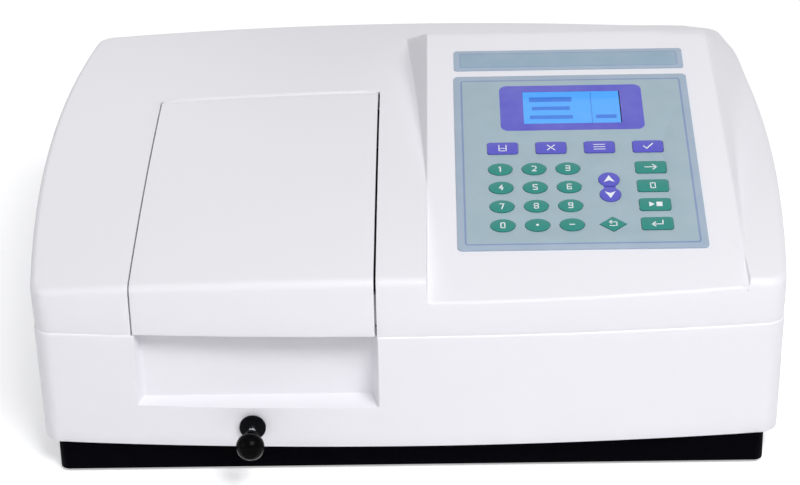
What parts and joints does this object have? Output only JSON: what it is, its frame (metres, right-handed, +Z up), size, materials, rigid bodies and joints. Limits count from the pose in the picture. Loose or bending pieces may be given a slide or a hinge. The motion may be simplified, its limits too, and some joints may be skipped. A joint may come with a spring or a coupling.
{
  "type": "benchtop spectrophotometer",
  "caption": "Benchtop spectrophotometer with a white moulded case, hinged sample lid, cell carriage on a pull rod and a sloping membrane keypad with a display.",
  "frame": {"origin": "centre of the bounding box in X and Y, at the underside of the rubber feet", "axes": "+Z up, -Y the front with the keypad and pull rod, +X to the right seen from the front"},
  "size_m": [0.4638, 0.3846, 0.1924],
  "materials": {
    "black_sheet_steel": "fine satin powder coat",
    "black_rubber": "moulded matt",
    "zinc_steel": "zinc plated",
    "white_abs": "cool white, fine moulded texture, satin",
    "black_abs": "satin",
    "black_foam": "open foam, dull",
    "printed_film": "grey-blue reverse-printed film, low gloss",
    "clear_window": "clear, slightly tinted",
    "display_glass": "backlit blue display",
    "polished_steel": "polished",
    "black_phenolic": "polished black moulding",
    "black_anodised": "black anodised, dull",
    "cell_glass": "polished clear",
    "cast_aluminium": "as cast",
    "green_board": "solder mask",
    "board_brown": "phenolic board and wound parts",
    "red_plastic": "gloss",
    "purple_key": "embossed film, low gloss",
    "green_key": "embossed film, low gloss"
  },
  "bodies": {
    "chassis": {"base_tray": "black_sheet_steel", "rubber_feet": "black_rubber", "case_screws": "zinc_steel", "lower_housing": "white_abs", "top_cover": "white_abs", "lid_hinge_pin": "zinc_steel", "keypad_overlay": "printed_film", "title_strip": "printed_film", "display_window": "clear_window", "lcd_module": "display_glass", "rod_bushing": "black_abs", "sample_chamber": "black_anodised", "chamber_windows": "cell_glass", "optical_bench": "cast_aluminium", "monochromator_box": "black_anodised", "lamp_house": "zinc_steel", "source_lamp": "cell_glass", "detector_module": "black_anodised", "main_board": "green_board", "power_supply": "board_brown", "rear_panel": "zinc_steel", "panel_screws": "zinc_steel", "mains_inlet": "black_abs", "inlet_pins": "polished_steel", "switch_frame": "black_abs", "data_port": "zinc_steel", "fan_frame": "black_abs", "fan_guard": "polished_steel"},
    "lid": {"sample_lid": "white_abs", "lid_liner": "black_abs", "lid_light_seal": "black_foam"},
    "cell_slide": {"pull_rod": "polished_steel", "rod_knob": "black_phenolic", "cell_carriage": "black_anodised", "cuvettes": "cell_glass"},
    "rocker": {"power_rocker": "red_plastic"},
    "rotor": {"fan_rotor": "black_abs"},
    "function_key_1": {"function_key_1": "purple_key"},
    "function_key_2": {"function_key_2": "purple_key"},
    "function_key_3": {"function_key_3": "purple_key"},
    "function_key_4": {"function_key_4": "purple_key"},
    "number_key_1": {"number_key_1": "green_key"},
    "number_key_2": {"number_key_2": "green_key"},
    "number_key_3": {"number_key_3": "green_key"},
    "number_key_4": {"number_key_4": "green_key"},
    "number_key_5": {"number_key_5": "green_key"},
    "number_key_6": {"number_key_6": "green_key"},
    "number_key_7": {"number_key_7": "green_key"},
    "number_key_8": {"number_key_8": "green_key"},
    "number_key_9": {"number_key_9": "green_key"},
    "number_key_10": {"number_key_10": "green_key"},
    "number_key_11": {"number_key_11": "green_key"},
    "number_key_12": {"number_key_12": "green_key"},
    "arrow_up_key": {"arrow_up_key": "purple_key"},
    "arrow_down_key": {"arrow_down_key": "purple_key"},
    "diamond_key": {"diamond_key": "green_key"},
    "side_key_1": {"side_key_1": "green_key"},
    "side_key_2": {"side_key_2": "green_key"},
    "side_key_3": {"side_key_3": "green_key"},
    "side_key_4": {"side_key_4": "green_key"}
  },
  "joints": [
    {"name": "lid_hinge", "type": "hinge", "parent": "chassis", "child": "lid", "pos_m": [-0.09085, 0.0518, 0.14871], "axis": [-1, 0, 0], "range_deg": [0, 80]},
    {"name": "rod_slide", "type": "slide", "parent": "chassis", "child": "cell_slide", "axis": [0, -1, 0], "range_m": [0, 0.051]},
    {"name": "rocker_pivot", "type": "hinge", "parent": "chassis", "child": "rocker", "pos_m": [0.114, 0.183, 0.05], "axis": [1, 0, 0], "range_deg": [-8, 8]},
    {"name": "fan_spin", "type": "hinge", "parent": "chassis", "child": "rotor", "pos_m": [0.165, 0.1783, 0.06], "axis": [0, 1, 0], "continuous": true},
    {"name": "function_key_1_press", "type": "slide", "parent": "chassis", "child": "function_key_1", "axis": [0, 0.296, -0.9552], "range_m": [0, 0.0004], "stiffness_N_per_m": 500},
    {"name": "function_key_2_press", "type": "slide", "parent": "chassis", "child": "function_key_2", "axis": [0, 0.296, -0.9552], "range_m": [0, 0.0004], "stiffness_N_per_m": 500},
    {"name": "function_key_3_press", "type": "slide", "parent": "chassis", "child": "function_key_3", "axis": [0, 0.296, -0.9552], "range_m": [0, 0.0004], "stiffness_N_per_m": 500},
    {"name": "function_key_4_press", "type": "slide", "parent": "chassis", "child": "function_key_4", "axis": [0, 0.296, -0.9552], "range_m": [0, 0.0004], "stiffness_N_per_m": 500},
    {"name": "number_key_1_press", "type": "slide", "parent": "chassis", "child": "number_key_1", "axis": [0, 0.296, -0.9552], "range_m": [0, 0.0004], "stiffness_N_per_m": 500},
    {"name": "number_key_2_press", "type": "slide", "parent": "chassis", "child": "number_key_2", "axis": [0, 0.296, -0.9552], "range_m": [0, 0.0004], "stiffness_N_per_m": 500},
    {"name": "number_key_3_press", "type": "slide", "parent": "chassis", "child": "number_key_3", "axis": [0, 0.296, -0.9552], "range_m": [0, 0.0004], "stiffness_N_per_m": 500},
    {"name": "number_key_4_press", "type": "slide", "parent": "chassis", "child": "number_key_4", "axis": [0, 0.296, -0.9552], "range_m": [0, 0.0004], "stiffness_N_per_m": 500},
    {"name": "number_key_5_press", "type": "slide", "parent": "chassis", "child": "number_key_5", "axis": [0, 0.296, -0.9552], "range_m": [0, 0.0004], "stiffness_N_per_m": 500},
    {"name": "number_key_6_press", "type": "slide", "parent": "chassis", "child": "number_key_6", "axis": [0, 0.296, -0.9552], "range_m": [0, 0.0004], "stiffness_N_per_m": 500},
    {"name": "number_key_7_press", "type": "slide", "parent": "chassis", "child": "number_key_7", "axis": [0, 0.296, -0.9552], "range_m": [0, 0.0004], "stiffness_N_per_m": 500},
    {"name": "number_key_8_press", "type": "slide", "parent": "chassis", "child": "number_key_8", "axis": [0, 0.296, -0.9552], "range_m": [0, 0.0004], "stiffness_N_per_m": 500},
    {"name": "number_key_9_press", "type": "slide", "parent": "chassis", "child": "number_key_9", "axis": [0, 0.296, -0.9552], "range_m": [0, 0.0004], "stiffness_N_per_m": 500},
    {"name": "number_key_10_press", "type": "slide", "parent": "chassis", "child": "number_key_10", "axis": [0, 0.296, -0.9552], "range_m": [0, 0.0004], "stiffness_N_per_m": 500},
    {"name": "number_key_11_press", "type": "slide", "parent": "chassis", "child": "number_key_11", "axis": [0, 0.296, -0.9552], "range_m": [0, 0.0004], "stiffness_N_per_m": 500},
    {"name": "number_key_12_press", "type": "slide", "parent": "chassis", "child": "number_key_12", "axis": [0, 0.296, -0.9552], "range_m": [0, 0.0004], "stiffness_N_per_m": 500},
    {"name": "arrow_up_key_press", "type": "slide", "parent": "chassis", "child": "arrow_up_key", "axis": [0, 0.296, -0.9552], "range_m": [0, 0.0004], "stiffness_N_per_m": 500},
    {"name": "arrow_down_key_press", "type": "slide", "parent": "chassis", "child": "arrow_down_key", "axis": [0, 0.296, -0.9552], "range_m": [0, 0.0004], "stiffness_N_per_m": 500},
    {"name": "diamond_key_press", "type": "slide", "parent": "chassis", "child": "diamond_key", "axis": [0, 0.296, -0.9552], "range_m": [0, 0.0004], "stiffness_N_per_m": 500},
    {"name": "side_key_1_press", "type": "slide", "parent": "chassis", "child": "side_key_1", "axis": [0, 0.296, -0.9552], "range_m": [0, 0.0004], "stiffness_N_per_m": 500},
    {"name": "side_key_2_press", "type": "slide", "parent": "chassis", "child": "side_key_2", "axis": [0, 0.296, -0.9552], "range_m": [0, 0.0004], "stiffness_N_per_m": 500},
    {"name": "side_key_3_press", "type": "slide", "parent": "chassis", "child": "side_key_3", "axis": [0, 0.296, -0.9552], "range_m": [0, 0.0004], "stiffness_N_per_m": 500},
    {"name": "side_key_4_press", "type": "slide", "parent": "chassis", "child": "side_key_4", "axis": [0, 0.296, -0.9552], "range_m": [0, 0.0004], "stiffness_N_per_m": 500}
  ]
}
